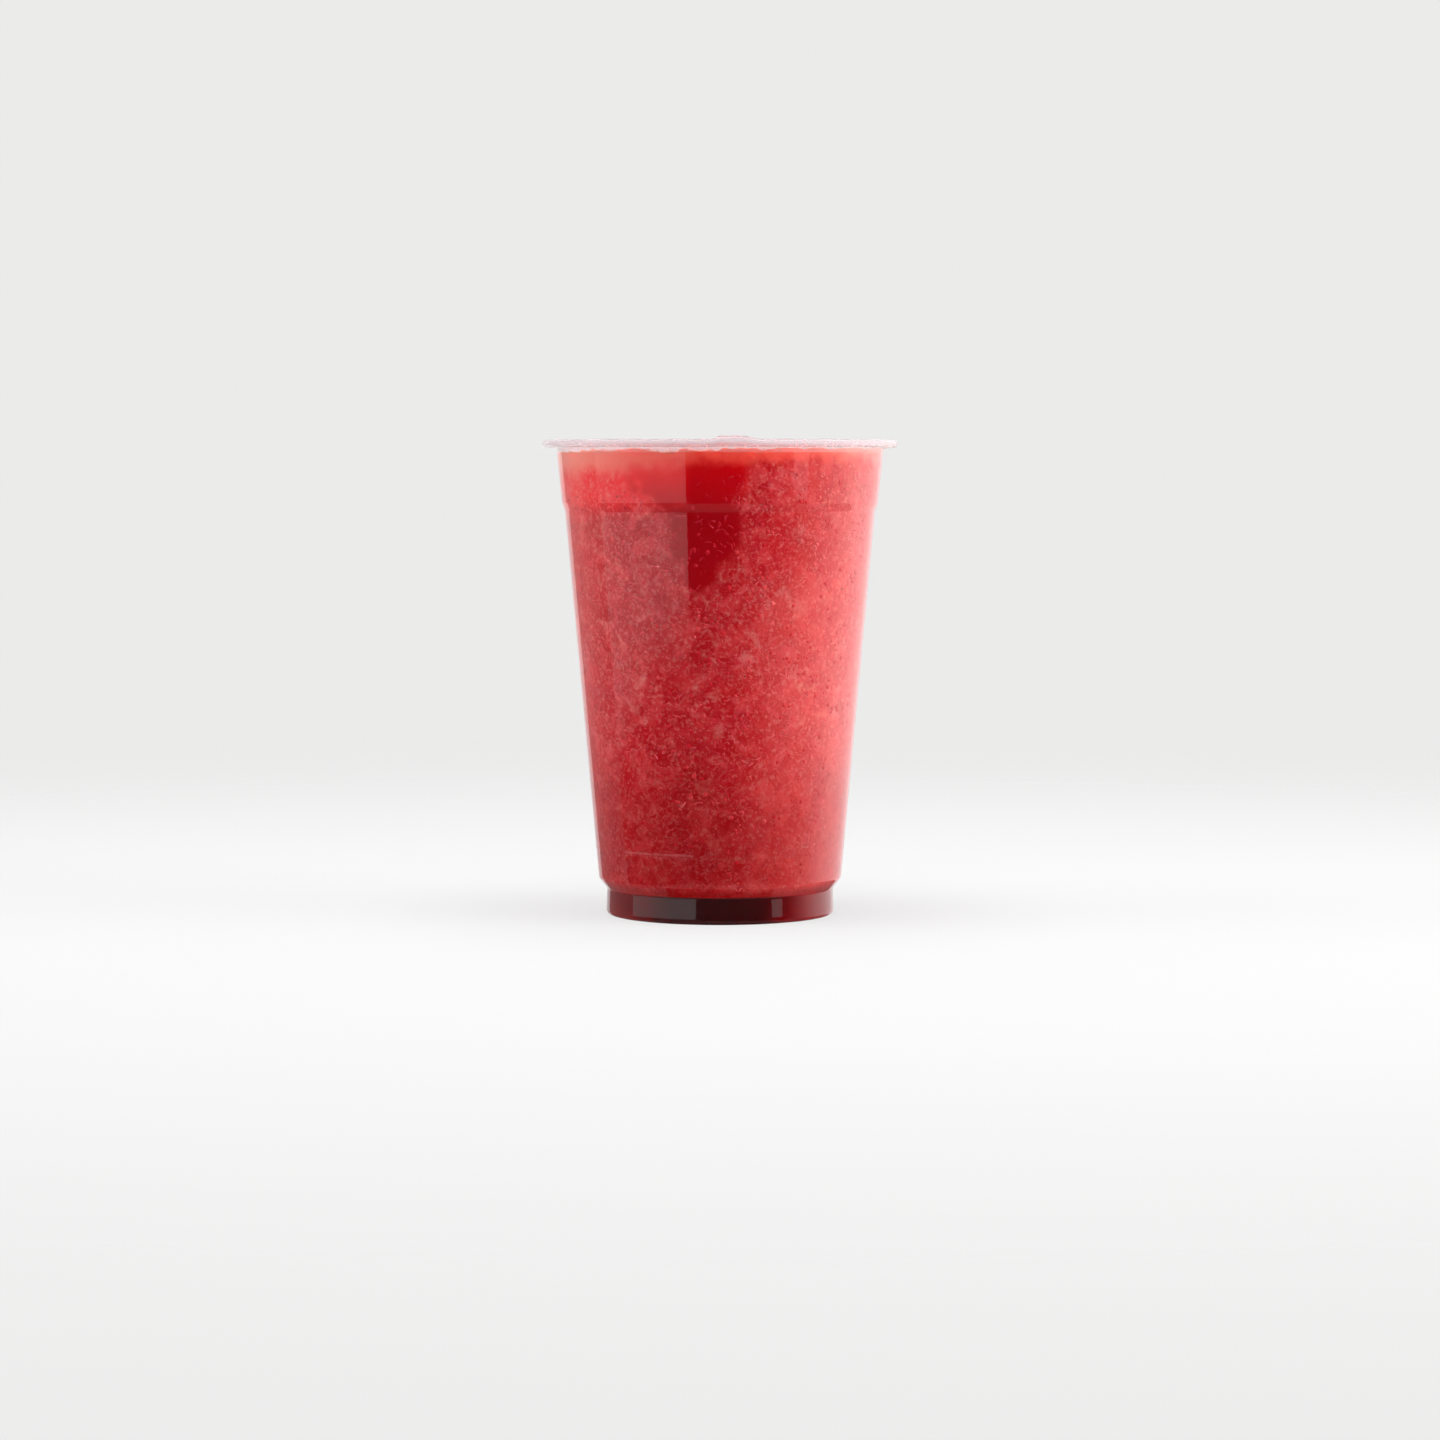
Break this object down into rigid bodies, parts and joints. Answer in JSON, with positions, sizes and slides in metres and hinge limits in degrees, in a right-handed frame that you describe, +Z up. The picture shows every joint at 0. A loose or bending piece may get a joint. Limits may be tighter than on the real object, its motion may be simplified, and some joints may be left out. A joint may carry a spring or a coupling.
{
  "type": "watermelon juice",
  "caption": "Clear tapered plastic cup with a rolled rim, a stepped top band and a narrow foot, filled nearly to the brim with icy red watermelon slush over a thin dark layer of settled juice.",
  "frame": {"origin": "middle of the flat ring that the cup stands on", "axes": "+Z up along the cup's axis; -Y faces the picture's camera, and +X is to the picture's right"},
  "size_m": [0.095, 0.095, 0.1279],
  "materials": {
    "clear_plastic": "clear, thin, high gloss",
    "watermelon_slush": "wet crushed ice in red juice",
    "settled_juice": "clear dark red juice"
  },
  "bodies": {
    "root": {"cup": "clear_plastic", "slush": "watermelon_slush", "settled_juice": "settled_juice"}
  },
  "joints": []
}
